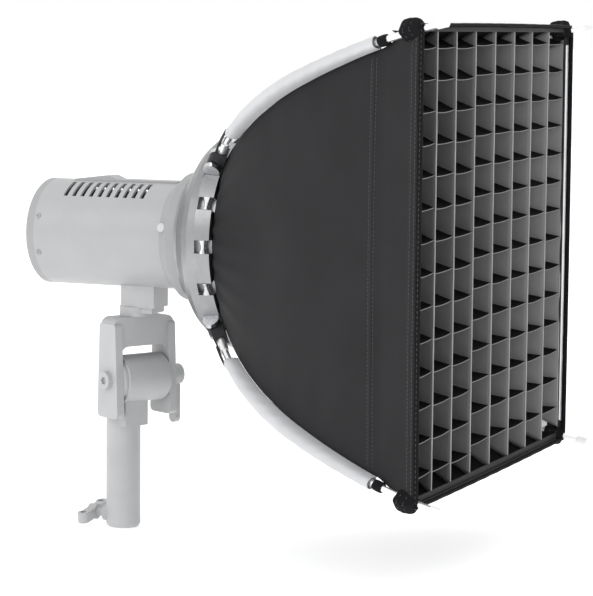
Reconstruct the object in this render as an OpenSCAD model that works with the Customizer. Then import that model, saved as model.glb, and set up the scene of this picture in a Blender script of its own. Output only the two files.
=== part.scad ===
// Compact monolight strobe on a pan and tilt bracket, fitted with a square quick-open softbox.
// Frame: origin at the mouth of the stand socket, +X the way the light shines, +Z up, millimetres.

/* [Strobe body] */
// Height of the optical axis above the mouth of the stand socket
axis_height = 283; // [270:1:300]
// Outer radius of the round housing
body_r = 50.4; // [50:0.1:51]
// Wall thickness of the housing
body_wall = 2.4; // [1.8:0.1:3]
// X position of the rear end of the body
body_rear = -79; // [-85:1:-76]
// X position where the housing meets the front mount
body_front = 63; // [62:0.5:64]
// Number of vent slots along each side
vent_count = 10; // [6:1:11]
// Width of one vent slot
vent_width = 4.2; // [3:0.1:5]
// Height of the hump on the top rail
rail_rise = 4.6; // [3:0.1:6]

/* [Bracket] */
// Pan angle of the bracket about the vertical axis
bracket_turn = 27; // [15:1:32]
// X position of the vertical pan axis
pan_x = 15; // [13:0.5:17]
// Height of the tilt axis above the socket mouth
tilt_z = 145; // [142:1:148]
// Outer radius of the stand socket
socket_r = 16.5; // [15.5:0.5:17.5]
// Radius of the bore that takes a 16 mm stand spigot
socket_bore_r = 8.1; // [8.05:0.05:8.3]
// Depth of the stand socket bore
socket_depth = 60; // [45:1:70]
// Distance from the middle of the yoke to the inside of one cheek
cheek_gap = 27; // [26:0.5:29]
// Thickness of one cheek
cheek_t = 8; // [6:0.5:9]
// Width of the yoke across its cheeks
yoke_w = 22; // [20:1:24]

/* [Softbox] */
// Side of the square opening, measured over the corner pockets
box_side = 400; // [396:1:404]
// Radius of the speedring rim
ring_r = 102; // [100:0.5:103]
// X position of the rear edge of the speedring rim
ring_x = 124; // [123:0.5:125]
// Radius of one bowed rod
rod_r = 3.0; // [2.6:0.1:3.2]
// Thickness of the fabric walls
cloth_t = 1.6; // [1.2:0.1:2]
// Columns of cells in the fabric grid
grid_cols = 8; // [6:1:10]
// Rows of cells in the fabric grid
grid_rows = 14; // [10:1:16]
// Depth of the fabric grid from front to back
grid_depth = 24; // [20:1:26]

/* [Hidden] */
$fn = 64;
eps = 0.05;
// clearance of a part that slides or turns in another
run = 0.06;
// rod path: two tangent arcs in the diagonal plane, in X from ring_x and radius from the axis
arc1_r = 296.5;
arc2_r = 715.7;
lean0 = 57.7;
lean1 = 30.15;
rod_x0 = 20;
rod_r0 = 119.9;
arc1_x = rod_x0 + arc1_r * sin(lean0);
arc1_z = rod_r0 - arc1_r * cos(lean0);
join_x = arc1_x - arc1_r * sin(lean1);
join_z = arc1_z + arc1_r * cos(lean1);
arc2_x = join_x + arc2_r * sin(lean1);
arc2_z = join_z - arc2_r * cos(lean1);
front_x = 252;
shell_x0 = 16;
knuckle_r = 23;
mount_lip_x = 84;
throat_r = 44.6;
neck_r = 44.2;
panel_r = 43.8;
panel_x = body_rear + 3;

// ---- helpers ----
module at_axis() translate([0, 0, axis_height]) children();
module along_x() rotate([0, 90, 0]) children();
module spin(a) rotate([a, 0, 0]) children();
module tube(r, ri, h) difference() {
  cylinder(r = r, h = h);
  translate([0, 0, -1]) cylinder(r = ri, h = h + 2);
}
module x_tube(x, r, ri, h) translate([x, 0, 0]) along_x() tube(r, ri, h);
module x_rod(x, r, h) translate([x, 0, 0]) along_x() cylinder(r = r, h = h);
module x_cone(x, r1, r2, h) translate([x, 0, 0]) along_x() cylinder(r1 = r1, r2 = r2, h = h);
// profile points are [X, radius]
module x_turn(points) along_x() rotate_extrude() polygon([for (p = points) [p[1], p[0]]]);
module block(x, y, z) translate([x[0], y[0], z[0]]) cube([x[1] - x[0], y[1] - y[0], z[1] - z[0]]);
module bracket_frame() translate([pan_x, 0, 0]) rotate([0, 0, -bracket_turn]) children();
// rod centre and fabric seam radius at a distance x in front of the ring's rear edge
function rod_at(x) = x < join_x ?
  arc1_z + sqrt(arc1_r * arc1_r - (x - arc1_x) * (x - arc1_x)) :
  arc2_z + sqrt(arc2_r * arc2_r - (x - arc2_x) * (x - arc2_x));
function lean_at(x) = x < join_x ? asin((arc1_x - x) / arc1_r) : asin((arc2_x - x) / arc2_r);
function seam_at(x) = rod_at(x) - 13 + 0.045 * max(0, x - 90);
function kick_at(x) = 8.2 * max(0, (x - 214) / 38);
function corner_at(x) = seam_at(x) / sqrt(2) + kick_at(x);
function inset_at(x) = 16 * min(1, max(0, (x - 212) / 36));
function ease(x) = pow(1 - min(1, (x - shell_x0) / 70), 2);
function bulge_at(x) = 3 + 21 * ease(x) - 2 * max(0, (x - 200) / 52);
module each_rod() for (a = [45, 135, 225, 315]) at_axis() spin(a) translate([ring_x, 0, 0]) children();
// one arc swept in the local XZ plane from lean a to lean b, profile drawn about the arc's line
module sweep1(a, b) translate([arc1_x, 0, arc1_z]) rotate([90, 0, 0]) rotate([0, 0, 90 + b])
  rotate_extrude(angle = a - b) translate([arc1_r, 0]) children();
module sweep2(a, b) translate([arc2_x, 0, arc2_z]) rotate([90, 0, 0]) rotate([0, 0, 90 + b])
  rotate_extrude(angle = a - b) translate([arc2_r, 0]) children();
module on_rod(x) translate([x, 0, rod_at(x)]) rotate([0, -lean_at(x), 0]) children();

// ---- strobe ----
module housing() color("#c4c6c9") at_axis() difference() {
  x_tube(body_rear + 9, body_r, body_r - body_wall, body_front - body_rear - 9);
  for (i = [0 : vent_count - 1]) for (a = [30, -30])
    spin(a) block([-46 + i * 9, -46 + i * 9 + vent_width], [-12, 12], [body_r - 8, body_r + 5]);
  for (a = [110, -110, 70, -70]) spin(a) translate([-66, 0, body_r - 4]) cylinder(r = 1.3, h = 8);
}

module top_rail() color("#b9bbbe") at_axis() difference() {
  translate([0, 9, body_r - 3]) rotate([90, 0, 0]) linear_extrude(18) polygon([
    [-48, 0], [-48, 3.6], [-16, 3 + rail_rise], [-10, 3 + rail_rise], [-2, 4.3], [62, 4.3], [62, 0]]);
  translate([-60, 0, 0]) along_x() cylinder(r = body_r + 0.08, h = 140, $fn = 240);
}

module housing_screws() color("#55585c") for (a = [110, -110, 70, -70])
  at_axis() spin(a) translate([-66, 0, body_r - 3.9]) union() {
    cylinder(r = 1.2, h = 3.95);
    translate([0, 0, 3.95]) difference() {
      cylinder(r1 = 2.6, r2 = 2.0, h = 1.1);
      translate([0, 0, 0.5]) cylinder(r = 1.1, h = 2, $fn = 6);
    }
  }

module rear_bezel() color("#a9abae") at_axis() x_turn([
  [body_rear, 44], [body_rear, 48.6], [body_rear + 2, body_r], [body_rear + 9, body_r],
  [body_rear + 9, 45.5], [body_rear + 6.2, 45.5], [body_rear + 6.2, 42.5], [body_rear + 5.6, 42.5],
  [body_rear + 5.6, 44]]);

module rear_panel() color("#8f9195") at_axis() difference() {
  x_rod(panel_x, panel_r, 2.5);
  block([panel_x - 1, panel_x + 4], [-18.2, 18.2], [11.8, 32.2]);
  for (y = [-36, -26, -16, -6]) block([panel_x - 1, panel_x + 4], [y - 3.7, y + 3.7], [-1.7, 5.7]);
  translate([0, 16, -2]) x_rod(panel_x - 1, 3.2, 5);
  block([panel_x - 1, panel_x + 4], [-23.7, 3.7], [-34, -13.8]);
  block([panel_x - 1, panel_x + 4], [10.6, 25.4], [-33.2, -14.8]);
  translate([0, 34, -4]) x_rod(panel_x - 1, 4.1, 5);
}

module display() color("#1c2126") at_axis()
  block([panel_x - 0.4, panel_x + 2.2], [-18, 18], [12, 32]);

module dial() color("#707378") at_axis() translate([0, 16, -2]) union() {
  difference() {
    x_rod(panel_x - 10, 9.5, 9.6);
    for (i = [0 : 17]) spin(i * 20) translate([panel_x - 11, 0, 9.9]) along_x() cylinder(r = 0.8, h = 9);
  }
  x_rod(panel_x - 0.4, 3.2 - run, 8);
}

module push_key(y, c) color(c) at_axis() {
  block([panel_x - 1.6, panel_x + 3.4], [y - 3.5, y + 3.5], [-1.5, 5.5]);
  block([panel_x + 2.8, panel_x + 3.8], [y - 4.4, y + 4.4], [-2.4, 6.4]);
}
module button_test() push_key(-36, "#c8433a");
module button_menu() push_key(-26, "#55585c");
module button_lamp() push_key(-16, "#55585c");
module button_slave() push_key(-6, "#55585c");

module power_rocker() color("#202224") at_axis()
  translate([panel_x + 2, 11, -24]) rotate([90, 0, 0]) mirror([0, 0, 1]) union() {
    linear_extrude(14) polygon([[-3.2, -8.2], [-2.1, 0], [-4.2, 8.2], [3.4, 6.5], [4, 0], [3.4, -6.5]]);
    translate([0, 0, -0.3]) cylinder(r = 1.4, h = 14.6);
  }

module inlet() color("#222426") at_axis() {
  difference() {
    union() {
      block([panel_x - 1.2, panel_x - 0.02], [-25, 5], [-35.2, -12.6]);
      block([panel_x - 0.02, panel_x + 19], [-23.5, 3.5], [-33.8, -14]);
    }
    block([panel_x - 2, panel_x + 15], [-22, 2], [-32.2, -15.6]);
  }
  for (p = [[-10, -21.2], [-17, -26], [-3, -26]])
    block([panel_x + 4, panel_x + 16], [p[0] - 1, p[0] + 1], [p[1] - 2, p[1] + 2]);
}

module sync_jack() color("#c9a24a") at_axis() translate([0, 34, -4]) difference() {
  union() {
    x_rod(panel_x - 0.02, 4, 12);
    x_rod(panel_x - 1.6, 5.2, 1.58);
  }
  x_rod(panel_x - 2, 1.75, 11.6);
}

module front_mount() color("#a3a5a8") at_axis() difference() {
  x_turn([[body_front, throat_r], [body_front, body_r], [body_front + 0.5, body_r], [74, 60],
    [mount_lip_x, 60], [mount_lip_x, throat_r], [80, throat_r], [80, 49.2], [74.2, 49.2],
    [74.2, throat_r]]);
  for (a = [0, 120, 240]) spin(a) block([79, 85], [-16, 16], [40, 49.2]);
  spin(78) translate([68.6, 0, 40]) cylinder(r = 4.2, h = 25);
  spin(100) translate([0, 0, 53.5]) x_rod(70.5, 2.15, 20);
}

module release_button() color("#d8d9da") at_axis() spin(78) translate([68.6, 0, 0]) union() {
  translate([0, 0, 48.4]) cylinder(r = 4.2 - run, h = 9.4);
  translate([0, 0, 57.8]) cylinder(r1 = 4.2 - run, r2 = 3.3, h = 0.8);
}

module lock_pin() color("#b8bcc0") at_axis() spin(100) translate([0, 0, 53.5]) union() {
  x_rod(76.5, 2.15 - run, 10);
  x_cone(86.5, 2.15 - run, 1.4, 1);
}

module reflector_pan() color("#d5d7d9") at_axis() x_turn([
  [61.4, 20.6], [61.4, 34], [62.6, 38], [72, 41.4], [72, 40.4], [63.4, 37.4], [62.4, 33.6],
  [62.4, 20.6]]);

module flash_tube() color("#e8ecef") at_axis() union() {
  translate([92, 0, 0]) along_x() rotate([0, 0, 18]) rotate_extrude(angle = 324)
    translate([19, 0]) circle(r = 3.4);
  for (a = [-34, 34]) spin(a) translate([0, 0, -19]) x_rod(64, 2.4, 27.4);
}

module modelling_lamp() color("#f2e7c8") at_axis() union() {
  x_rod(64, 6.2, 10);
  x_turn([[74, 0], [74, 6.6], [78, 9], [90, 10.5], [97, 8.6], [101, 4.4], [102, 0]]);
}

module lamp_socket() color("#e6e3da") at_axis() difference() {
  x_rod(49.6, 20.4, 14.2);
  x_rod(63.9, 6.4, 2);
}

module glass_dome() color("#eef2f2") at_axis() x_turn([
  [63.2, 30], [96, 30], [106, 26.5], [113, 19], [116.5, 9], [117, 0], [118.6, 0], [118, 9.8],
  [114.2, 20], [106.8, 28], [96.4, 31.6], [63.2, 31.6]]);

module main_board() color("#2f6b45") at_axis() union() {
  block([-30, 44], [-37, 37], [3, 4.6]);
  for (y = [-30, -18, 22]) block([-26, -14], [y, y + 8], [4.6, 9]);
  block([-30, -25], [-12, 12], [4.6, 16]);
}

module capacitors() color("#2b3a55") for (y = [-11.2, 11.2]) for (z = [-10, -32])
  at_axis() translate([0, y, z]) x_rod(-30, 10, 62);

module transformer() color("#c8a65a") at_axis() union() {
  block([22, 42], [-13, 13], [4.8, 28]);
  translate([0, 0, 16]) x_rod(18.5, 8, 27);
}

module heatsink() color("#9da1a6") at_axis() union() {
  block([-12, 16], [-20, 20], [4.8, 7.6]);
  for (i = [0 : 7]) block([-12, 16], [-20 + i * 5.5, -18.5 + i * 5.5], [7.6, 26]);
}

module fan_frame() color("#303234") at_axis() union() {
  difference() {
    block([-50, -35], [-30, 30], [-30, 30]);
    x_rod(-51, 28, 20);
    for (y = [-26, 26]) for (z = [-26, 26]) translate([0, y, z]) x_rod(-51, 1.8, 20);
  }
  x_rod(-49.9, 10, 1.9);
  x_rod(-49.5, 1.6, 11.5);
  for (a = [10, 130, 250]) spin(a) block([-49.8, -48.2], [-1.6, 1.6], [9, 28.8]);
}

module fan_impeller() color("#484b4e") at_axis() difference() {
  union() {
    x_rod(-47.6, 10.5, 10.6);
    for (i = [0 : 6]) spin(i * 360 / 7) translate([-42, 0, 18]) rotate([0, 0, 38])
      cube([11, 1.4, 17], center = true);
  }
  x_rod(-49, 1.6 + run, 11.2);
}

// ---- bracket ----
module foot() color("#a6a8ab") difference() {
  union() {
    block([5, 40], [-15, 15], [214, 240]);
    translate([pan_x, 0, 205.1]) cylinder(r = 17, h = 9.2);
    block([14, 37], [-13, 13], [208.5, 214.5]);
  }
  at_axis() translate([-60, 0, 0]) along_x() cylinder(r = body_r + 0.05, h = 140, $fn = 240);
  translate([pan_x, 0, 200]) cylinder(r = 5.06, h = 22);
}

module pan_bolt() color("#8d9094") translate([pan_x, 0, 0]) union() {
  translate([0, 0, 190]) cylinder(r = 5, h = 30);
  translate([0, 0, 184.9]) cylinder(r = 8.6, h = 5.1, $fn = 6);
}

module cheek_outline() union() {
  hull() {
    for (s = [-1, 1]) translate([s * (yoke_w / 2 - 1), 196]) circle(r = 3, $fn = 24);
    for (s = [-1, 1]) translate([s * (yoke_w / 2 + 0.5), 114]) circle(r = 5, $fn = 24);
  }
}
module yoke() color("#9fa1a4") bracket_frame() difference() {
  union() {
    for (s = [-1, 1]) translate([0, s > 0 ? cheek_gap + cheek_t : -cheek_gap, 0])
      rotate([90, 0, 0]) linear_extrude(cheek_t) cheek_outline();
    rotate([90, 0, 90]) translate([0, 0, -yoke_w / 2]) linear_extrude(yoke_w) difference() {
      hull() for (s = [-1, 1]) {
        translate([s * (cheek_gap + cheek_t - 9), 196]) circle(r = 9, $fn = 32);
        translate([s * (cheek_gap + cheek_t - 1), 165]) circle(r = 1, $fn = 12);
      }
      translate([-cheek_gap, 150]) square([2 * cheek_gap, 18]);
      hull() for (s = [-1, 1]) translate([s * (cheek_gap - 9), 168]) circle(r = 9, $fn = 32);
    }
  }
  translate([0, 0, 180]) cylinder(r = 5.06, h = 40);
  translate([0, 0, 170]) cylinder(r = 10.2, h = 20);
  translate([0, 60, tilt_z]) rotate([90, 0, 0]) cylinder(r = 5.05, h = 120);
}

module tilt_bolt() color("#8d9094") bracket_frame() translate([0, 0, tilt_z]) union() {
  translate([0, 46, 0]) rotate([90, 0, 0]) cylinder(r = 5, h = 46 + cheek_gap + cheek_t);
  translate([0, -cheek_gap - cheek_t, 0]) rotate([90, 0, 0]) difference() {
    cylinder(r = 8.5, h = 4.5);
    translate([0, 0, 2]) cylinder(r = 4, h = 4, $fn = 6);
  }
}

module tilt_washers() color("#3c3e40") for (s = [-1, 1]) bracket_frame()
  translate([0, s * 25.5 + 1.4, tilt_z]) rotate([90, 0, 0]) tube(20, 5.1, 2.8);

module tilt_lever() color("#8b8d90") bracket_frame() difference() {
  union() {
    translate([0, cheek_gap + cheek_t + 14, tilt_z]) rotate([90, 0, 0]) cylinder(r = 10, h = 13.7);
    translate([-7.5, cheek_gap + cheek_t + 8, tilt_z - 40]) cube([11, 5.5, 40]);
    translate([-2, cheek_gap + cheek_t + 13.5, tilt_z - 42]) rotate([90, 0, 0])
      cylinder(r = 5.5, h = 5.5);
  }
  translate([0, 60, tilt_z]) rotate([90, 0, 0]) cylinder(r = 5.06, h = 40);
}

module stand_socket() color("#a0a2a5") difference() {
  union() {
    cylinder(r1 = socket_r - 2, r2 = socket_r, h = 3);
    translate([0, 0, 3]) cylinder(r = socket_r, h = 104);
    translate([0, 0, 107]) cylinder(r1 = socket_r, r2 = 11, h = 9);
    translate([-socket_r - 3.5, 0, 11]) along_x() cylinder(r = 7.5, h = 8);
    bracket_frame() translate([0, 23.9, tilt_z]) rotate([90, 0, 0]) cylinder(r = knuckle_r, h = 47.8);
    bracket_frame() translate([-21, -20, 100]) cube([30, 26, 34]);
  }
  translate([0, 0, -1]) cylinder(r = socket_bore_r, h = socket_depth + 1);
  bracket_frame() translate([0, 60, tilt_z]) rotate([90, 0, 0]) cylinder(r = 5.06, h = 120);
  translate([-30, 0, 11]) along_x() cylinder(r = 4.06, h = 25);
}

module pressure_pad() color("#b98f3e") translate([-12.4, 0, 11]) along_x()
  cylinder(r = 4.0, h = 4.3);

module stand_screw() color("#77797c") translate([0, 0, 11]) union() {
  translate([-32, 0, 0]) along_x() cylinder(r = 4.0, h = 19.5);
  translate([-36, 0, 0]) along_x() cylinder(r = 7.4, h = 8);
  rotate([8, 0, 0]) difference() {
    union() {
      translate([-37, -19, -5]) cube([9, 38, 10]);
      for (s = [-1, 1]) translate([-33.5, s * 19, -5]) cylinder(r = 5.5, h = 10);
    }
    for (s = [-1, 1]) translate([-33.5, s * 18, -6]) cylinder(r = 3, h = 12);
  }
}

// ---- softbox ----
module ring_insert() color("#aeb1b4") at_axis() difference() {
  union() {
    x_turn([[74.6, 41.8], [74.6, neck_r], [84.3, neck_r], [84.3, 62.6], [88, 64], [88, 58],
      [98.2, 58], [98.2, 50], [84.3, 41.8]]);
    for (a = [60, 180, 300]) spin(a) intersection() {
      x_tube(74.6, 48.8, 43.5, 5);
      block([74, 80], [-14, 14], [30, 50]);
    }
  }
  spin(100) translate([0, 0, 53.5]) x_rod(83, 2.3, 6);
}

module insert_retainer() color("#888b8f") at_axis() difference() {
  x_tube(98.3, 62.5, 50.2, 2.2);
  for (a = [0 : 60 : 300]) spin(a) translate([0, 0, 54]) x_rod(99.4, 1.8, 2);
}

module ring_body() color("#b4b7ba") at_axis() difference() {
  x_turn([[88.2, 58 + run], [88.2, 65.5], [96, 77], [106, 90], [114, 96.5], [ring_x, ring_r - 3.5],
    [ring_x, ring_r], [ring_x + 15, ring_r - 1], [ring_x + 15, 89], [ring_x - 4, 89],
    [108, 82], [98.1, 66], [98.1, 58 + run]]);
  for (q = [0, 90, 180, 270]) for (a = [22.5, 0, -22.5])
    spin(q + a) block([ring_x - 1, ring_x + 16], [-6, 6], [ring_r - 8, ring_r + 4]);
  for (a = [45, 135, 225, 315]) spin(a) block([ring_x - 3, ring_x + 16], [-11, 11], [ring_r - 7, 120]);
}

module ring_spindles() color("#d0d3d6") for (q = [0, 90, 180, 270]) for (a = [22.5, 0, -22.5])
  at_axis() spin(q + a) translate([ring_x + 8, 5.9, ring_r - 3.8]) rotate([90, 0, 0]) union() {
    cylinder(r = 2.2, h = 11.8);
    cylinder(r1 = 4.0, r2 = 2.2, h = 4.4);
    translate([0, 0, 7.4]) cylinder(r1 = 2.2, r2 = 4.0, h = 4.4);
  }

module hinge_pins() color("#cdd0d3") each_rod() translate([8, 0, ring_r + 3.2]) rotate([90, 0, 0])
  union() {
    translate([0, 0, -10.8]) cylinder(r = 3, h = 21.6);
    for (s = [-10.8, 6.4]) translate([0, 0, s]) cylinder(r = 7.6, h = 4.4);
  }

module clevises() color("#26282a") each_rod() difference() {
  union() {
    translate([8, 0, ring_r + 3.2]) rotate([90, 0, 0]) translate([0, 0, -6.2]) cylinder(r = 7, h = 12.4);
    on_rod(18) translate([-10.5, -5.6, -5.9]) cube([16, 11.2, 11.8]);
  }
  translate([8, 0, ring_r + 3.2]) rotate([90, 0, 0]) translate([0, 0, -12]) cylinder(r = 3.05, h = 24);
  on_rod(20.1) translate([-5, 0, 0]) along_x() cylinder(r = 4.25, h = 30);
}

module rods() color("#dcdee0") each_rod() union() {
  on_rod(20.1) translate([-4.5, 0, 0]) along_x() cylinder(r = 4.2, h = 20);
  sweep1(lean_at(26), lean1) circle(r = rod_r, $fn = 40);
  sweep2(lean1, lean_at(268)) circle(r = rod_r, $fn = 40);
  on_rod(join_x) translate([-2, 0, 0]) along_x() cylinder(r = rod_r + 0.15, h = 4);
}

module rod_tips() color("#f0f1f2") each_rod() on_rod(268.2) union() {
  along_x() cylinder(r = rod_r + 0.9, h = 9);
  translate([9, 0, 0]) along_x() cylinder(r1 = rod_r + 0.9, r2 = 2.2, h = 1.8);
}

module sleeve_profile(depth) union() {
  circle(r = rod_r + 1.5);
  translate([-depth, -1.8]) square([depth, 3.6]);
}
module rod_sleeves() color("#b9bcc2") each_rod() difference() {
  union() {
    sweep1(lean_at(38), lean1) sleeve_profile(7.6);
    sweep2(lean1, lean_at(208)) sleeve_profile(5.6);
    on_rod(join_x) translate([-1.5, 0, 0]) along_x() cylinder(r = rod_r + 1.7, h = 3);
  }
  sweep1(lean_at(36), lean1) circle(r = rod_r + 0.4);
  sweep2(lean1, lean_at(212)) circle(r = rod_r + 0.4);
  on_rod(join_x) translate([-2.6, 0, 0]) along_x() cylinder(r = rod_r + 0.5, h = 5.2);
}

module rod_straps() color("#1f2022") each_rod() on_rod(216) difference() {
  translate([-5, -4.6, -5]) cube([9, 9.2, 10]);
  translate([-6, 0, 0]) along_x() cylinder(r = rod_r + 0.35, h = 20);
}

module corner_pockets() color("#1b1c1e") each_rod() difference() {
  on_rod(244) translate([-12, -7.5, -4.6]) cube([17, 15, 10.4]);
  on_rod(244) translate([-30, 0, 0]) along_x() cylinder(r = rod_r + 0.6, h = 60);
}

// one fabric wall: stations along X, ribs across, outer skin then inner skin
shell_nx = 16;
shell_nt = 8;
function wall_x(i) = shell_x0 + (front_x - shell_x0) * pow(i / shell_nx, 1.15);
function wall_point(i, j, d) = let (x = wall_x(i), t = -1 + 2 * j / shell_nt,
  c = corner_at(x) - 0.25) [ring_x + x, t * (c - d - inset_at(x)), c + bulge_at(x) * (1 - t * t) - d];
function wall_index(i, j, k) = (k * (shell_nx + 1) + i) * (shell_nt + 1) + j;
function quad(a, b, c, d) = [[a, b, c], [a, c, d]];
module wall_panel() polyhedron(
  points = [for (k = [0, 1]) for (i = [0 : shell_nx]) for (j = [0 : shell_nt])
    wall_point(i, j, k * cloth_t)],
  faces = concat(
    [for (i = [0 : shell_nx - 1]) for (j = [0 : shell_nt - 1]) each quad(
      wall_index(i, j, 0), wall_index(i, j + 1, 0), wall_index(i + 1, j + 1, 0), wall_index(i + 1, j, 0))],
    [for (i = [0 : shell_nx - 1]) for (j = [0 : shell_nt - 1]) each quad(
      wall_index(i, j, 1), wall_index(i + 1, j, 1), wall_index(i + 1, j + 1, 1), wall_index(i, j + 1, 1))],
    [for (i = [0 : shell_nx - 1]) each quad(
      wall_index(i, 0, 0), wall_index(i + 1, 0, 0), wall_index(i + 1, 0, 1), wall_index(i, 0, 1))],
    [for (i = [0 : shell_nx - 1]) each quad(
      wall_index(i, shell_nt, 1), wall_index(i + 1, shell_nt, 1), wall_index(i + 1, shell_nt, 0),
      wall_index(i, shell_nt, 0))],
    [for (j = [0 : shell_nt - 1]) each quad(
      wall_index(0, j, 1), wall_index(0, j + 1, 1), wall_index(0, j + 1, 0), wall_index(0, j, 0))],
    [for (j = [0 : shell_nt - 1]) each quad(
      wall_index(shell_nx, j, 0), wall_index(shell_nx, j + 1, 0), wall_index(shell_nx, j + 1, 1),
      wall_index(shell_nx, j, 1))]));
module panel_near() color("#1d1e20") at_axis() spin(90) wall_panel();
module panel_top() color("#1d1e20") at_axis() wall_panel();
module panel_far() color("#1d1e20") at_axis() spin(-90) wall_panel();
module panel_bottom() color("#1d1e20") at_axis() spin(180) wall_panel();

band_half = corner_at(front_x) + 1;
module front_band() color("#17181a") difference() {
  at_axis() difference() {
    translate([ring_x + front_x + 0.3, -band_half, -band_half]) cube([4, 2 * band_half, 2 * band_half]);
    translate([ring_x, -band_half + 4.2, -band_half + 4.2])
      cube([400, 2 * band_half - 8.4, 2 * band_half - 8.4]);
  }
  each_rod() on_rod(244) translate([-30, 0, 0]) along_x() cylinder(r = rod_r + 0.6, h = 60);
}

module cloth_square(x, half, t) at_axis() translate([ring_x + x, -half, -half])
  cube([t, 2 * half, 2 * half]);
module inner_diffuser() color("#e9e9e6") at_axis() union() {
  translate([ring_x + 120, -85, -85]) cube([1.2, 170, 170]);
  for (a = [45, 135, 225, 315]) spin(a) translate([ring_x + 120, -5, 110]) cube([1.2, 10, 82]);
}
module front_diffuser() color("#f1f1ee") cloth_square(214, corner_at(214) - cloth_t - 1, 1.2);

grid_x1 = ring_x + front_x - 8.5;
grid_x0 = grid_x1 - grid_depth;
grid_h1 = corner_at(front_x - 8.5) - cloth_t - 4.9;
grid_h0 = corner_at(front_x - 8.5 - grid_depth) - cloth_t - 1.5;
function grid_h(f) = grid_h1 * f;
module strip_v(f) translate([0, f * grid_h1 + 0.6, 0]) rotate([90, 0, 0]) linear_extrude(1.2)
  polygon([[grid_x0, -grid_h0], [grid_x1, -grid_h1], [grid_x1, grid_h1], [grid_x0, grid_h0]]);
module strip_h(f) translate([0, 0, f * grid_h1 - 0.4]) linear_extrude(0.8)
  polygon([[grid_x0, -grid_h0], [grid_x1, -grid_h1], [grid_x1, grid_h1], [grid_x0, grid_h0]]);
module grid() color("#1b1c1e") at_axis() union() {
  for (i = [1 : grid_cols - 1]) strip_v(-1 + 2 * i / grid_cols);
  for (i = [1 : grid_rows - 1]) strip_h(-1 + 2 * i / grid_rows);
  difference() {
    translate([grid_x1 - 3, -grid_h1, -grid_h1]) cube([3, 2 * grid_h1, 2 * grid_h1]);
    translate([0, -grid_h1 + 2.2, -grid_h1 + 2.2]) cube([500, 2 * grid_h1 - 4.4, 2 * grid_h1 - 4.4]);
  }
}

housing();
top_rail();
housing_screws();
rear_bezel();
rear_panel();
display();
dial();
button_test();
button_menu();
button_lamp();
button_slave();
power_rocker();
inlet();
sync_jack();
front_mount();
release_button();
lock_pin();
reflector_pan();
flash_tube();
modelling_lamp();
lamp_socket();
glass_dome();
main_board();
capacitors();
transformer();
heatsink();
fan_frame();
fan_impeller();
foot();
pan_bolt();
yoke();
tilt_bolt();
tilt_washers();
tilt_lever();
stand_socket();
pressure_pad();
stand_screw();
ring_insert();
insert_retainer();
ring_body();
ring_spindles();
hinge_pins();
clevises();
rods();
rod_tips();
rod_sleeves();
rod_straps();
corner_pockets();
panel_near();
panel_top();
panel_far();
panel_bottom();
front_band();
inner_diffuser();
front_diffuser();
grid();
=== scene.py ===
"""Looks for a monolight strobe on a stand bracket with a square softbox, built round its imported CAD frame."""
import math

import bpy
import numpy as np
from mathutils import Matrix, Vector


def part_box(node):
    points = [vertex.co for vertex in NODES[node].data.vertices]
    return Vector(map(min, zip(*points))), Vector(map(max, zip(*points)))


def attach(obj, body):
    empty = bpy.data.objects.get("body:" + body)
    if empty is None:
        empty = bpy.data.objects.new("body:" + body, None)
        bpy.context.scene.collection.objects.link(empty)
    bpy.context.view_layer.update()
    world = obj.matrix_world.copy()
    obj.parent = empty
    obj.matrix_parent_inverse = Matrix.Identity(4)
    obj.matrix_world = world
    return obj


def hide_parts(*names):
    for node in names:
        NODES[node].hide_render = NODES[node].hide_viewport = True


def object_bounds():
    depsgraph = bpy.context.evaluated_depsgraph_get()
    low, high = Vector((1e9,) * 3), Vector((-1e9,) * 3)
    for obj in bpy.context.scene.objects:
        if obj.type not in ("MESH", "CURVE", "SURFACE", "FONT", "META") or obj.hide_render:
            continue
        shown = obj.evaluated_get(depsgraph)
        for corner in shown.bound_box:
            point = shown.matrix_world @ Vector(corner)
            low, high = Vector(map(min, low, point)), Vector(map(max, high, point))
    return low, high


bl_info = {
    "name": "Monolight strobe with softbox",
    "version": (1, 0, 0),
    "blender": (4, 5, 0),
    "location": "View3D > Sidebar > Strobe",
    "description": "Sews the softbox and finishes the strobe round its packed frame",
    "category": "Object",
}

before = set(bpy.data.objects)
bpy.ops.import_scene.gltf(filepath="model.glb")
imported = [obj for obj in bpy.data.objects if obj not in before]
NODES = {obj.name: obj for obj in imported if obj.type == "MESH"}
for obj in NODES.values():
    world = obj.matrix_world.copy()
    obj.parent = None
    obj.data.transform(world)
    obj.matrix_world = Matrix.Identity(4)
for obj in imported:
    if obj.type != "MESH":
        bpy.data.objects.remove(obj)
CAD_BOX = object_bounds()

# ------------------------------------------------------------ the softbox's shape, in millimetres about its axis
MM = 0.001
BAND_LOW, BAND_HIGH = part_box("front_band")
AXIS_Z = (BAND_LOW[2] + BAND_HIGH[2]) / 2
RING_X = 0.124
ARC1_R, ARC2_R = 296.5, 715.7
LEAN0, LEAN1 = math.radians(57.7), math.radians(30.15)
ARC1 = (20 + ARC1_R * math.sin(LEAN0), 119.9 - ARC1_R * math.cos(LEAN0))
JOIN = (ARC1[0] - ARC1_R * math.sin(LEAN1), ARC1[1] + ARC1_R * math.cos(LEAN1))
ARC2 = (JOIN[0] + ARC2_R * math.sin(LEAN1), JOIN[1] - ARC2_R * math.cos(LEAN1))
CLOTH_X0, CLOTH_X1 = 16.0, 252.0
FOLD_IN = 14.0
SIDES = {"top": 0, "near": 90, "bottom": 180, "far": -90}
CORNERS = {"near_top": 45, "near_bottom": 135, "far_bottom": 225, "far_top": 315}


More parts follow.
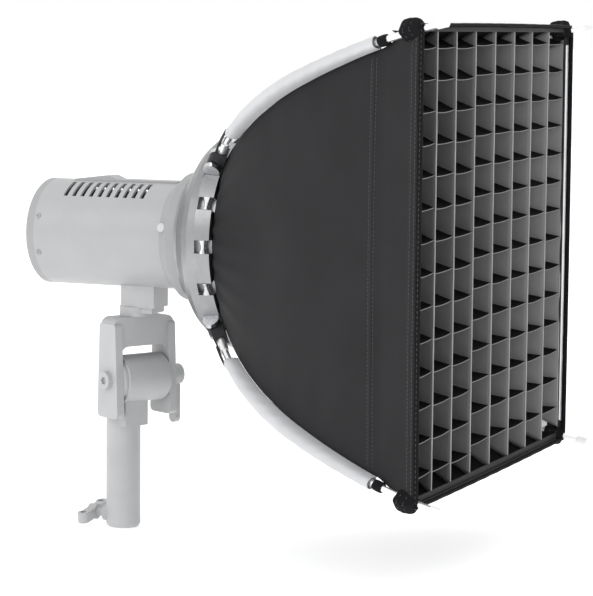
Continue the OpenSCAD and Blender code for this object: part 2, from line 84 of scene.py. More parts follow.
def rod_radius(x):
    """Height of a rod over the axis: its two tangent circles' centre heights plus root(R^2 - (x - centre)^2)."""
    x = np.asarray(x, float)
    first = ARC1[1] + np.sqrt(np.maximum(ARC1_R ** 2 - (x - ARC1[0]) ** 2, 0))
    second = ARC2[1] + np.sqrt(np.maximum(ARC2_R ** 2 - (x - ARC2[0]) ** 2, 0))
    return np.where(x < JOIN[0], first, second)


def rod_lean(x):
    """Slope of a rod in radians: the arcsine of (circle's centre - x) over its radius."""
    x = np.asarray(x, float)
    first = np.arcsin(np.clip((ARC1[0] - x) / ARC1_R, -1, 1))
    return np.where(x < JOIN[0], first, np.arcsin((ARC2[0] - x) / ARC2_R))


def half_side(x):
    """Half the side of the square of corners at x: (rod height - 13 + 0.045 (x - 90)) / root 2 + 0.216 (x - 214)."""
    x = np.asarray(x, float)
    return (rod_radius(x) - 13 + 0.045 * np.maximum(0, x - 90)) / math.sqrt(2) + 8.2 * np.maximum(0, x - 214) / 38


def stand_out(x):
    """How far a wall's middle stands past its corners: 3, plus 21 (1 - run)^2 at the ring, less 2 at the mouth."""
    x = np.asarray(x, float)
    at_ring = (1 - np.clip((x - CLOTH_X0) / 70, 0, 1)) ** 2
    return 3 + 21 * at_ring - 2 * np.maximum(0, (x - 200) / 52)


def hump(x, centre, width):
    """A smooth ridge: e to the minus ((x - centre) / width) squared."""
    return np.exp(-((np.asarray(x, float) - centre) / width) ** 2)


def turned(points, degrees):
    """Points turned about the optical axis by the right-hand rule: y' = y cos - z sin, z' = y sin + z cos."""
    c, s = math.cos(math.radians(degrees)), math.sin(math.radians(degrees))
    points = np.asarray(points, float)
    x, y, z = points[..., 0], points[..., 1], points[..., 2]
    return np.stack([x, y * c - z * s, y * s + z * c], -1)


def placed(points):
    """From millimetres about the axis, x from the ring's rear edge, to metres in the row frame."""
    return np.asarray(points, float) * MM + np.array([RING_X, 0, AXIS_Z])


# ------------------------------------------------------------ meshes
def grid_quads(rows, columns, wrap_rows=False, wrap_columns=False):
    """Quads between the points of a rows by columns grid, whose point (i, j) is number i * columns + j."""
    i = np.arange(rows if wrap_rows else rows - 1)
    j = np.arange(columns if wrap_columns else columns - 1)
    i, j = np.meshgrid(i, j, indexing="ij")
    i2, j2 = (i + 1) % rows, (j + 1) % columns
    quads = np.stack([i * columns + j, i2 * columns + j, i2 * columns + j2, i * columns + j2], -1)
    return quads.reshape(-1, 4)


def facing_out(points, faces):
    """Turns all faces over if the closed mesh's volume, the sum of a . (b x c) / 6, comes out negative."""
    first, volume = points[faces[:, 0]], 0.0
    for k in range(1, faces.shape[1] - 1):
        cross = np.cross(points[faces[:, k]], points[faces[:, k + 1]])
        volume += float((first * cross).sum())
    return faces[:, ::-1].copy() if volume < 0 else faces


class Pattern:
    """Points, faces and flat pattern coordinates gathered for one piece. Every part that is added is closed."""

    def __init__(self):
        self.points, self.faces, self.flat, self.second, self.count = [], [], [], [], 0

    def add(self, points, faces, flat=None, second=False):
        """One closed part in the row frame. flat is its cut in metres; second gives it the second finish."""
        points = np.asarray(points, float).reshape(-1, 3)
        faces = facing_out(points - points.mean(0), np.asarray(faces))
        flat = np.zeros((len(points), 2)) if flat is None else np.asarray(flat, float).reshape(-1, 2)
        self.points.append(points)
        self.faces.append(faces + self.count)
        self.flat.append(flat)
        self.second.append(np.broadcast_to(np.asarray(second, bool), len(faces)))
        self.count += len(points)

    def piece(self, name, finish, second_finish=None, smooth=True):
        """The mesh object: one vertex, face and pattern array each, put in with foreach_set."""
        points, faces = np.concatenate(self.points), np.concatenate(self.faces)
        flat, second = np.concatenate(self.flat), np.concatenate(self.second)
        mesh = bpy.data.meshes.new(name)
        mesh.vertices.add(len(points))
        mesh.vertices.foreach_set("co", points.astype(np.float32).ravel())
        mesh.loops.add(faces.size)
        mesh.loops.foreach_set("vertex_index", faces.astype(np.int32).ravel())
        mesh.polygons.add(len(faces))
        mesh.polygons.foreach_set("loop_start", np.arange(0, faces.size, faces.shape[1], dtype=np.int32))
        mesh.polygons.foreach_set("loop_total", np.full(len(faces), faces.shape[1], np.int32))
        mesh.update(calc_edges=True)
        mesh.polygons.foreach_set("use_smooth", np.full(len(faces), smooth))
        layer = mesh.uv_layers.new(name="Cut")
        layer.data.foreach_set("uv", flat[faces.ravel()].astype(np.float32).ravel())
        mesh.materials.append(finish)
        if second_finish is not None:
            mesh.materials.append(second_finish)
            mesh.polygons.foreach_set("material_index", second.astype(np.int32))
        if mesh.validate():
            raise RuntimeError(f"{name} has faces that are not sound")
        piece = bpy.data.objects.new(name, mesh)
        bpy.context.scene.collection.objects.link(piece)
        return piece


def cloth_shell(outer, inner):
    """A closed sheet from its outer and inner grids: both grids, and a strip of quads round their shared rim."""
    rows, columns = outer.shape[:2]
    count = rows * columns
    faces = grid_quads(rows, columns)
    number = np.arange(count).reshape(rows, columns)
    rim = np.concatenate([number[0, :-1], number[:-1, -1], number[-1, :0:-1], number[:0:-1, 0]])
    after = np.roll(rim, -1)
    sides = np.stack([rim, after, after + count, rim + count], -1)
    points = np.concatenate([outer.reshape(-1, 3), inner.reshape(-1, 3)])
    return points, np.concatenate([faces, faces[:, ::-1] + count, sides])


def add_sheet(pattern, outer, inner, flat, turn=0, second=None):
    """Adds a closed sheet between two grids in millimetres, turned about the axis; flat is its cut in millimetres."""
    points, faces = cloth_shell(placed(turned(outer, turn)), placed(turned(inner, turn)))
    chosen = False if second is None else second(faces)
    pattern.add(points, faces, np.concatenate([flat.reshape(-1, 2) * MM] * 2), chosen)


def belongs(body, slot, *pieces):
    """Rides pieces on a body. The slot argument is not used."""
    for piece in pieces:
        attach(piece, body)


def along_rod(stations, section):
    """Carries sections of (out, side) offsets along a rod: centre line + out * normal + side * Y, at each station."""
    x = np.asarray(stations, float)[:, None]
    lean, radius = rod_lean(x), rod_radius(x)
    out, side = section[..., 0], section[..., 1]
    return np.stack([x - out * np.sin(lean), side + 0 * x, radius + out * np.cos(lean)], -1)


def tube_wall(outer, inner):
    """A closed hollow tube: the outer rings forwards, then the inner rings backwards, wrapped both ways."""
    rings = np.concatenate([outer, inner[::-1]])
    return rings, grid_quads(rings.shape[0], rings.shape[1], True, True)


def girth_of(rings):
    """Distance round each ring of points, from its first point to past each point in turn."""
    return np.cumsum(np.linalg.norm(np.diff(rings, axis=1, append=rings[:, :1]), axis=-1), 1)


def add_tube(pattern, outer, inner, flat, turn):
    """Adds a closed hollow tube, turned about the axis; flat is its cut in millimetres."""
    rings, faces = tube_wall(placed(turned(outer, turn)), placed(turned(inner, turn)))
    pattern.add(rings, faces, np.concatenate([flat, flat[::-1]]) * MM)


def stitches(pattern, centres, along, outward, length=2.6, radius=0.32):
    """Stitches: five-sided spindles, centre + s * along + r (cos * side + sin * outward), in millimetres."""
    along = along / np.linalg.norm(along, axis=-1, keepdims=True)
    outward = outward / np.linalg.norm(outward, axis=-1, keepdims=True)
    side = np.cross(along, outward)
    turn = np.linspace(0, 2 * math.pi, 5, endpoint=False)
    s = np.array([-0.62, 0.0, 0.62]) * length / 2
    r = np.array([0.75, 1.0, 0.75]) * radius
    ring = (np.cos(turn)[:, None, None] * side[None] + np.sin(turn)[:, None, None] * outward[None])
    rings = centres[:, None, None] + s[None, :, None, None] * along[:, None, None] + \
        r[None, :, None, None] * ring.transpose(1, 0, 2)[:, None]
    poles = np.stack([centres - along * length / 2, centres + along * length / 2], 1)
    points = np.concatenate([rings.reshape(len(centres), 15, 3), poles], 1)
    k = np.arange(5)
    k2 = (k + 1) % 5
    low = [np.stack([k + 5 * m, k2 + 5 * m, k2 + 5 * m + 5], -1) for m in (0, 1)]
    high = [np.stack([k + 5 * m, k2 + 5 * m + 5, k + 5 * m + 5], -1) for m in (0, 1)]
    caps = [np.stack([k2, k, 0 * k + 15], -1), np.stack([k + 10, k2 + 10, 0 * k + 16], -1)]
    one = np.concatenate(low + high + caps)
    faces = (one[None] + 17 * np.arange(len(centres))[:, None, None]).reshape(-1, 3)
    pattern.add(placed(points), faces)


# ------------------------------------------------------------ finishes
class Number:
    """A number on its way through a finish. Sums, differences and products of it add Math nodes."""

    def __init__(self, finish, socket):
        self.finish, self.socket = finish, socket

    def _with(self, operation, first, second):
        return self.finish.node("Math", {"operation": operation}, {0: first, 1: second})

    def __add__(self, other):
        return self._with("ADD", self, other)

    def __radd__(self, other):
        return self._with("ADD", other, self)

    def __sub__(self, other):
        return self._with("SUBTRACT", self, other)

    def __mul__(self, other):
        return self._with("MULTIPLY", self, other)


class Finish:
    """One material with a single surface shader, and the one method that adds any other node to it."""

    def __init__(self, name, **constants):
        self.material = bpy.data.materials.new(name)
        self.material.use_nodes = True
        self.tree = self.material.node_tree
        self.tree.nodes.clear()
        self.surface = self.tree.nodes.new("ShaderNodeBsdfPrincipled")
        end = self.tree.nodes.new("ShaderNodeOutputMaterial")
        self.tree.links.new(self.surface.outputs[0], end.inputs[0])
        for socket, value in constants.items():
            self.surface.inputs[socket.replace("_", " ")].default_value = value

    def node(self, kind, settings=None, inputs=None, output=0):
        """Adds a node: its settings first, a ramp's stops among them, then its sockets' values or links."""
        made = self.tree.nodes.new("ShaderNode" + kind)
        for name, value in (settings or {}).items():
            if name == "stops":
                ramp = made.color_ramp
                while len(ramp.elements) < len(value):
                    ramp.elements.new(0.5)
                for element, (at, colour) in zip(ramp.elements, value):
                    element.position, element.color = at, colour
            else:
                setattr(made, name, value)
        for socket, value in (inputs or {}).items():
            if isinstance(value, Number):
                self.tree.links.new(value.socket, made.inputs[socket])
            else:
                made.inputs[socket].default_value = value
        return Number(self, made.outputs[output])

    def feed(self, socket, value):
        """Joins a number or colour to a socket of the surface shader."""
        self.tree.links.new(value.socket, self.surface.inputs[socket])

    def place(self, scale=(1, 1, 1), flat=False):
        """Where a point is: the object's own metres, or the cloth's flat cut, times scale."""
        source = self.node("TexCoord", output=2 if flat else 3)
        return self.node("Mapping", None, {"Vector": source, "Scale": scale})

    def noise(self, size, detail=3.0, stretch=(1, 1, 1), flat=False, rough=0.55):
        """Cloudy noise from 0 to 1 whose lumps are about size metres across."""
        scale = tuple(s / size for s in stretch)
        return self.node("TexNoise", None, {"Vector": self.place(scale, flat), "Scale": 1.0,
                                            "Detail": detail, "Roughness": rough})

    def ramp(self, number, low, high):
        """A number carried from low..high to 0..1, and held at the ends."""
        return self.node("MapRange", None, {"Value": number, "From Min": low, "From Max": high})

    def mix(self, share, first, second):
        """A colour between two, by a share from 0 to 1."""
        made = self.tree.nodes.new("ShaderNodeMix")
        made.data_type = "RGBA"
        for slot, value in ((0, share), (6, first), (7, second)):
            if isinstance(value, Number):
                self.tree.links.new(value.socket, made.inputs[slot])
            else:
                made.inputs[slot].default_value = value
        return Number(self, made.outputs[2])

    def bump(self, height, distance, strength=1.0, under=None):
        """Relief from a height of 0 to 1 that stands distance metres."""
        inputs = {"Height": height, "Distance": distance, "Strength": strength}
        if under is not None:
            inputs["Normal"] = under
        return self.node("Bump", None, inputs)


def shade(colour, factor):
    """A colour with its three parts times a factor, at full alpha."""
    return (colour[0] * factor, colour[1] * factor, colour[2] * factor, 1.0)


def moulded(name, colour, roughness=0.45, grain=0.0006, relief=0.00005, drift=0.06, **constants):
    """Moulded or painted surface: spark-eroded grain, broad tone drift and handling marks in its gloss."""
    f = Finish(name, Specular_IOR_Level=0.45, **constants)
    broad, fine = f.noise(0.05, 3), f.noise(grain, 2)
    smear = f.ramp(f.noise(0.02, 4, (1, 2.5, 1)), 0.45, 0.75)
    tone = f.ramp(broad + fine * 0.35, 0.4, 0.95)
    f.feed("Base Color", f.mix(tone, shade(colour, 1 - drift), shade(colour, 1 + drift)))
    f.feed("Roughness", roughness + smear * 0.12 - fine * 0.06)
    f.feed("Normal", f.bump(fine, relief, 0.6, f.bump(broad, 0.0002, 0.15)))
    return f.material


def metal(name, colour, roughness=0.28, grain=0.0008, relief=0.00004, stretch=(1, 1, 1), drift=0.08, metallic=1.0):
    """Cast, turned or plated metal: fine grain, cloudy tone and rubbed spots that are brighter and smoother."""
    f = Finish(name, Metallic=metallic)
    broad, fine = f.noise(0.018, 4), f.noise(grain, 3, stretch)
    rubbed = f.ramp(f.noise(0.007, 3), 0.56, 0.7)
    tone = f.mix(f.ramp(broad, 0.3, 0.7), shade(colour, 1 - drift), shade(colour, 1 + drift))
    f.feed("Base Color", f.mix(rubbed * 0.35, tone, shade(colour, 1.18)))
    f.feed("Roughness", roughness + fine * 0.14 - rubbed * 0.08)
    f.feed("Normal", f.bump(fine, relief, 0.7))
    return f.material


def woven(name, colour, thread=0.0009, roughness=0.6, sheen=0.25, relief=0.00009, drift=0.14, satin=1.0, **constants):
    """Cloth on its flat cut: over-and-under threads, the sine of one way times the sine of the other, and soiling."""
    f = Finish(name, Sheen_Weight=sheen, Sheen_Roughness=0.45, **constants)
    flat = f.node("SeparateXYZ", None, {0: f.place((1, 1, 1), True)})
    across = f.node("SeparateXYZ", None, {0: f.place((1, 1, 1), True)}, 1)
    wave = f.node("Math", {"operation": "SINE"}, {0: flat * (2 * math.pi / thread * satin)})
    weft = f.node("Math", {"operation": "SINE"}, {0: across * (2 * math.pi / thread)})
    weave = f.ramp(wave * weft, -1, 1)
    broad, slub = f.noise(0.06, 4, flat=True), f.noise(thread * 2.2, 2, (1, 6, 1), True)
    tone = f.mix(f.ramp(broad, 0.32, 0.68), shade(colour, 1 - drift), shade(colour, 1 + drift))
    f.feed("Base Color", f.mix(weave * 0.3, tone, shade(colour, 1.35)))
    f.feed("Roughness", roughness + broad * 0.1 - weave * 0.08)
    f.feed("Normal", f.bump(weave + slub * 0.6, relief, 0.55, f.bump(f.noise(0.03, 3, flat=True), 0.0006, 0.35)))
    return f.material


# ------------------------------------------------------------ what a user can change
def length(name, description, default, low, high):
    """A length that a user can change, in metres."""
    return bpy.props.FloatProperty(name=name, description=description, default=default, min=low, max=high,
                                   unit="LENGTH")


def tint(name, description, default):
    """A colour that a user can change, in linear light."""
    return bpy.props.FloatVectorProperty(name=name, description=description, subtype="COLOR", default=default,
                                         min=0, max=1)


class StrobeSizes(bpy.types.PropertyGroup):
    """Sizes of the sewn and moulded detail."""

    cloth: length("Wall cloth", "Thickness of a coated fabric wall", 0.0009, 0.0005, 0.0016)
    hem: length("Mouth hem", "Depth of the folded hem round the mouth", 0.008, 0.004, 0.014)
    seam_at: length("Cross seam", "Distance of the cross seam in front of the ring", 0.204, 0.12, 0.235)
    stitch: length("Stitch pitch", "Distance from one stitch to the next", 0.0036, 0.0025, 0.006)
    columns: bpy.props.IntProperty(name="Grid columns", description="Cells across the fabric grid",
                                   default=8, min=6, max=10)
    rows: bpy.props.IntProperty(name="Grid rows", description="Cells up the fabric grid", default=15, min=10, max=16)
    sag: length("Grid sag", "How far a level strip sags between uprights", 0.0010, 0.0, 0.004)
    sleeve: length("Sleeve radius", "Outer radius of the cloth round a rod", 0.0055, 0.0046, 0.0062)


class StrobeColours(bpy.types.PropertyGroup):
    """Colours of the main finishes, in linear light."""

    shell: tint("Shell", "Housing plastic", (0.385, 0.389, 0.395))
    cast: tint("Bracket", "Painted casting of the bracket", (0.44, 0.444, 0.45))
    cloth: tint("Wall cloth", "Black coated cloth outside", (0.018, 0.018, 0.0195))
    lining: tint("Lining", "Silver-white cloth inside", (0.78, 0.79, 0.80))
    sleeve: tint("Sleeves", "Satin cloth round the rods", (0.50, 0.505, 0.52))
    grid: tint("Grid", "Strips of the fabric grid", (0.14, 0.14, 0.144))
    floor: tint("Floor", "Paper floor of the studio", (0.95, 0.95, 0.95))


def cloth_called(name, *cut, **constants):
    """The named cloth finish, woven the first time it is asked for."""
    return bpy.data.materials.get(name) or woven(name, *cut, **constants)


def wall_cloth():
    c = bpy.context.scene.strobe_colours
    return cloth_called("black_wall_cloth", c.cloth, roughness=0.6, sheen=0.04, Specular_IOR_Level=0.12)


def lining_cloth():
    c = bpy.context.scene.strobe_colours
    return cloth_called("silver_lining", c.lining, roughness=0.38, sheen=0.1, drift=0.05, Metallic=0.35)


def thread():
    return cloth_called("black_thread", (0.03, 0.03, 0.032), 0.0004, 0.5, 0.4)


def webbing():
    return cloth_called("black_webbing_tape", (0.008, 0.008, 0.009), 0.0013, 0.8, 0.0, 0.00016,
                        Specular_IOR_Level=0.1)


# ------------------------------------------------------------ operators
class STROBE_OT_stage(bpy.types.Operator):
    """Pale floor, soft studio light and the camera"""

    bl_idname = "strobe.stage"
    bl_label = "Set the stage"

    def execute(self, context):
        scene = context.scene
        scene.view_settings.view_transform = "Standard"
        reach, level = 60.0, min(CAD_BOX[0][2], 0.0) - 0.0005
        u = np.linspace(-1, 1, 33)
        x, y = np.meshgrid(u * reach, u * reach, indexing="ij")
        top = np.stack([x, y, 0 * x + level], -1)
        paper = Pattern()
        paper.add(*cloth_shell(top, top - np.array([0, 0, 0.01])))
        f = Finish("paper_floor", Roughness=0.9, Specular_IOR_Level=0.1,
                   Emission_Color=(1, 1, 1, 1), Emission_Strength=0.42)
        c = scene.strobe_colours.floor
        f.feed("Base Color", f.mix(f.noise(0.4, 3), shade(c, 0.985), shade(c, 1.0)))
        f.feed("Normal", f.bump(f.noise(0.002, 2), 0.0001, 0.2))
        paper.piece("floor", f.material)

        world = bpy.data.worlds.new("studio_white")
        world.use_nodes = True
        back = world.node_tree.nodes["Background"]
        back.inputs["Color"].default_value = (1, 1, 1, 1)
        back.inputs["Strength"].default_value = 1.0
        scene.world = world

        for name, place, aim, size, watts in (
                ("key_light", (-1.3, -2.3, 1.9), (0.1, 0, 0.3), 1.6, 16),
                ("fill_light", (2.6, -1.3, 1.0), (0.3, 0, 0.28), 1.5, 5),
                ("top_light", (0.1, 0.3, 2.6), (0.1, 0, 0.25), 2.0, 10)):
            lamp = bpy.data.lights.new(name, "AREA")
            lamp.shape, lamp.size, lamp.energy = "DISK", size, watts
            holder = bpy.data.objects.new(name, lamp)
            way = (np.array(aim) - np.array(place)) / np.linalg.norm(np.array(aim) - np.array(place))
            side = np.cross(way, (0, 0, 1.0))
            side /= np.linalg.norm(side)
            rise = np.cross(side, way)
            turn = np.eye(4)
            turn[:3, 0], turn[:3, 1], turn[:3, 2], turn[:3, 3] = side, rise, -way, place
            holder.matrix_world = Matrix(turn.tolist())
            scene.collection.objects.link(holder)

        eye = bpy.data.cameras.new("studio_camera")
        eye.lens, eye.sensor_width, eye.sensor_fit = 150.83, 36.0, "AUTO"
        eye.clip_end = 200
        camera = bpy.data.objects.new("studio_camera", eye)
        right, rise = (0.914565, 0.404354, 0.008329), (-0.050966, 0.094796, 0.994191)
        way, place = (-0.401215, 0.909677, -0.107305), (1.1103, -2.10723, 0.47856)
        turn = np.eye(4)
        turn[:3, 0], turn[:3, 1], turn[:3, 2], turn[:3, 3] = right, rise, -np.array(way), place
        camera.matrix_world = Matrix(turn.tolist())
        scene.collection.objects.link(camera)
        scene.camera = camera
        return {"FINISHED"}


class STROBE_OT_hardware(bpy.types.Operator):
    """Finishes of the strobe, bracket, speedring and rods"""

    bl_idname = "strobe.hardware"
    bl_label = "Finish the hardware"

    def execute(self, context):
        c = context.scene.strobe_colours
        shell = moulded("shell_plastic", c.shell, 0.42, 0.0007, 0.00006, 0.05)
        trim = moulded("trim_plastic", shade(c.shell, 0.86), 0.5, 0.0009, 0.00008, 0.06)
        rail = moulded("rail_plastic", shade(c.shell, 0.95), 0.4, 0.0006, 0.00004, 0.05)
        cast = moulded("bracket_casting", c.cast, 0.48, 0.0011, 0.00012, 0.08)
        dark = moulded("dark_plastic", (0.035, 0.035, 0.038), 0.38, 0.0005, 0.00004, 0.15)
        keys = moulded("key_plastic", (0.16, 0.165, 0.17), 0.42, 0.0005, 0.00004, 0.08)
        silver = metal("cast_silver", (0.31, 0.313, 0.32), 0.3, 0.0010, 0.00009)
        steel = metal("turned_steel", (0.62, 0.63, 0.645), 0.2, 0.0005, 0.00003, (0.25, 1, 1))
        black_steel = metal("blackened_steel", (0.03, 0.03, 0.032), 0.36, 0.0006, 0.00004, metallic=0.7)
        brass = metal("brass", (0.72, 0.50, 0.20), 0.24, 0.0006)
        bright = metal("bright_reflector", (0.86, 0.87, 0.88), 0.12, 0.0012, 0.00005)
        rod = metal("satin_rod", (0.86, 0.865, 0.875), 0.26, 0.0006, 0.00002, (0.1, 1, 1), 0.03, 0.85)
        coil = metal("copper_winding", (0.62, 0.27, 0.10), 0.3, 0.0007, 0.00012, (8, 1, 1))
        pale = moulded("pale_plastic", (0.54, 0.545, 0.55), 0.4, 0.0005, 0.00003, 0.03)
        board = moulded("circuit_board", (0.02, 0.16, 0.07), 0.25, 0.003, 0.00008, 0.25)
        sleeve = moulded("capacitor_sleeve", (0.03, 0.05, 0.16), 0.22, 0.002, 0.00003, 0.12)
        ceramic = moulded("lamp_ceramic", (0.82, 0.80, 0.74), 0.3, 0.0008, 0.00003, 0.04)
        panel = moulded("panel_plastic", (0.24, 0.245, 0.25), 0.46, 0.0006, 0.00006, 0.06)
        red = moulded("red_key", (0.50, 0.05, 0.03), 0.32, 0.0005, 0.00003, 0.08)
        cap = moulded("rod_cap_plastic", (0.84, 0.845, 0.85), 0.36, 0.0005, 0.00003, 0.03)

        frosted = Finish("frosted_glass", Transmission_Weight=0.85, IOR=1.46)
        cloud = frosted.noise(0.0009, 2)
        frosted.feed("Base Color", frosted.mix(cloud, (0.9, 0.91, 0.91, 1), (0.97, 0.98, 0.98, 1)))
        frosted.feed("Roughness", 0.42 + cloud * 0.2)
        frosted.feed("Normal", frosted.bump(cloud, 0.00005, 0.5))
        quartz = Finish("quartz_tube", Transmission_Weight=0.9, IOR=1.46)
        ripple = quartz.noise(0.004, 2)
        quartz.feed("Base Color", quartz.mix(ripple, (0.93, 0.95, 0.97, 1), (0.99, 0.99, 1, 1)))
        quartz.feed("Roughness", 0.06 + ripple * 0.08)
        bulb = Finish("bulb_glass", Transmission_Weight=0.7, IOR=1.46)
        haze = bulb.noise(0.003, 2)
        bulb.feed("Base Color", bulb.mix(haze, (0.93, 0.86, 0.66, 1), (0.98, 0.94, 0.82, 1)))
        bulb.feed("Roughness", 0.3 + haze * 0.15)
        glass = Finish("display_glass", Coat_Weight=0.8, Coat_Roughness=0.05)
        panes = glass.node("TexBrick", {"offset": 0.0},
                           {"Vector": glass.place((1, 1, 1)), "Scale": 160.0, "Mortar Size": 0.03,
                            "Color1": (0.02, 0.03, 0.035, 1), "Color2": (0.03, 0.045, 0.05, 1),
                            "Mortar": (0.008, 0.01, 0.012, 1)})
        glass.feed("Base Color", panes)
        glass.feed("Roughness", 0.12 + glass.noise(0.01, 3) * 0.1)

        wanted = {
            "housing": shell, "top_rail": rail, "housing_screws": trim, "rear_bezel": trim,
            "rear_panel": panel, "display": glass.material, "dial": keys, "button_test": red,
            "button_menu": keys, "button_lamp": keys, "button_slave": keys, "power_rocker": dark, "inlet": dark,
            "sync_jack": brass, "front_mount": trim, "release_button": pale, "lock_pin": steel,
            "reflector_pan": bright, "flash_tube": quartz.material, "modelling_lamp": bulb.material,
            "lamp_socket": ceramic, "glass_dome": frosted.material, "main_board": board, "capacitors": sleeve,
            "transformer": coil, "heatsink": silver, "fan_frame": dark, "fan_impeller": keys, "foot": cast,
            "pan_bolt": steel, "yoke": cast, "tilt_bolt": cast, "tilt_washers": cast, "tilt_lever": cast,
            "stand_socket": cast, "pressure_pad": brass, "stand_screw": cast, "ring_insert": silver,
            "insert_retainer": black_steel, "ring_body": silver, "ring_spindles": steel, "hinge_pins": steel,
            "clevises": black_steel, "rods": rod, "rod_tips": cap}
        for node, finish in wanted.items():
            slots = NODES[node].data.materials
            if not len(slots):
                slots.append(finish)
            for k in range(len(slots)):
                slots[k] = finish
        return {"FINISHED"}


def wall_point(x, t, depth, seam_x, hem):
    """A wall's point: across t (c - d), height c + s (1 - t^2) - d plus folds, hems and the seam's ridge."""
    c, s = half_side(x) - 0.25, stand_out(x)
    free = (1 - t ** 2)
    slack = 0.55 * np.sin(0.051 * x + 2.3 * t) * np.cos(3.1 * t + 0.4 + 0.011 * x)
    drawn = 1.3 * np.exp(-(x - CLOTH_X0) / 26) * np.cos(9.5 * math.pi * t)
    pulls = 0.7 * hump(np.abs(t), 1.0, 0.28) * np.sin(0.21 * x + 6 * np.abs(t)) * np.clip((x - 40) / 60, 0, 1)
    pucker = 0.22 * np.sin(0.9 * t * c) * (hump(x, seam_x, 7) + hump(x, CLOTH_X1 - hem, 6))
    folds = (slack + drawn + pulls + pucker) * free ** 0.6
    ridge = 0.9 * hump(x, seam_x, 1.6) + 0.55 / (1 + np.exp(-(x - (CLOTH_X1 - hem)) / 0.5)) \
        + 1.3 * hump(x, CLOTH_X0 + 3.5, 2.6)
    outside = np.where(depth > 0, 0.0, 1.0)
    height = c + s * free - depth + folds + ridge * outside * np.minimum(1, free * 40)
    return np.stack([x, t * (c - depth), height], -1)


class STROBE_OT_walls(bpy.types.Operator):
    """Four coated fabric walls with their linings, seams, hems and stitches"""

    bl_idname = "strobe.walls"
    bl_label = "Sew the walls"

    def execute(self, context):
        sizes = context.scene.strobe_sizes
        cloth, hem, seam_x = sizes.cloth / MM, sizes.hem / MM, sizes.seam_at / MM
        run = np.unique(np.concatenate([
            np.linspace(CLOTH_X0, CLOTH_X1, 96), np.linspace(CLOTH_X0, CLOTH_X0 + 10, 12),
            np.linspace(seam_x - 4, seam_x + 4, 17), np.linspace(CLOTH_X1 - hem - 2.5, CLOTH_X1 - hem + 2.5, 11)]))
        x, t = np.meshgrid(run, np.linspace(-1, 1, 121), indexing="ij")
        outer = wall_point(x, t, 0 * x, seam_x, hem)
        inner = wall_point(x, t, 0 * x + cloth, seam_x, hem)
        forward = np.concatenate([[0], np.cumsum(np.linalg.norm(np.diff(outer[:, 60], axis=0), axis=-1))])
        flat = np.stack([forward[:, None] + 0 * x, t * half_side(x)], -1)
        count = x.size
        for name, turn in SIDES.items():
            hemmed = (x > CLOTH_X1 - FOLD_IN) & ((np.abs(t) > 0.9) | (name != "far"))
            hemmed = np.concatenate([hemmed.ravel()] * 2)
            wall = Pattern()
            add_sheet(wall, outer, inner, flat, turn, lambda faces: (faces.min(1) >= count) & ~hemmed[faces].all(1))
            piece = wall.piece(f"wall_{name}", wall_cloth(), lining_cloth())
            sewn = Pattern()
            for line, sink in ((seam_x - 2.6, 0.05), (seam_x + 2.6, 0.05), (CLOTH_X1 - hem + 1.4, 0.05),
                               (CLOTH_X1 - 2.2, 0.05)):
                reach = float(half_side(line))
                number = int(2 * reach * MM / sizes.stitch)
                tt = (np.arange(number) + 0.5) / number * 1.94 - 0.97
                xx = np.full(number, line)
                here = wall_point(xx, tt, 0 * xx, seam_x, hem)
                after = wall_point(xx, tt + 0.004, 0 * xx, seam_x, hem)
                ahead = wall_point(xx + 1.0, tt, 0 * xx, seam_x, hem)
                out = np.cross(ahead - here, after - here)
                out /= np.linalg.norm(out, axis=-1, keepdims=True)
                stitches(sewn, turned(here + out * sink, turn), turned(after - here, turn), turned(out, turn))
            thread_piece = sewn.piece(f"wall_{name}_stitches", thread())
            belongs("softbox", "black_cloth", piece, thread_piece)
            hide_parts(f"panel_{name}")
            width, length = 2 * float(half_side(CLOTH_X1)) * MM + 0.01, forward[-1] * MM + 0.01
        return {"FINISHED"}


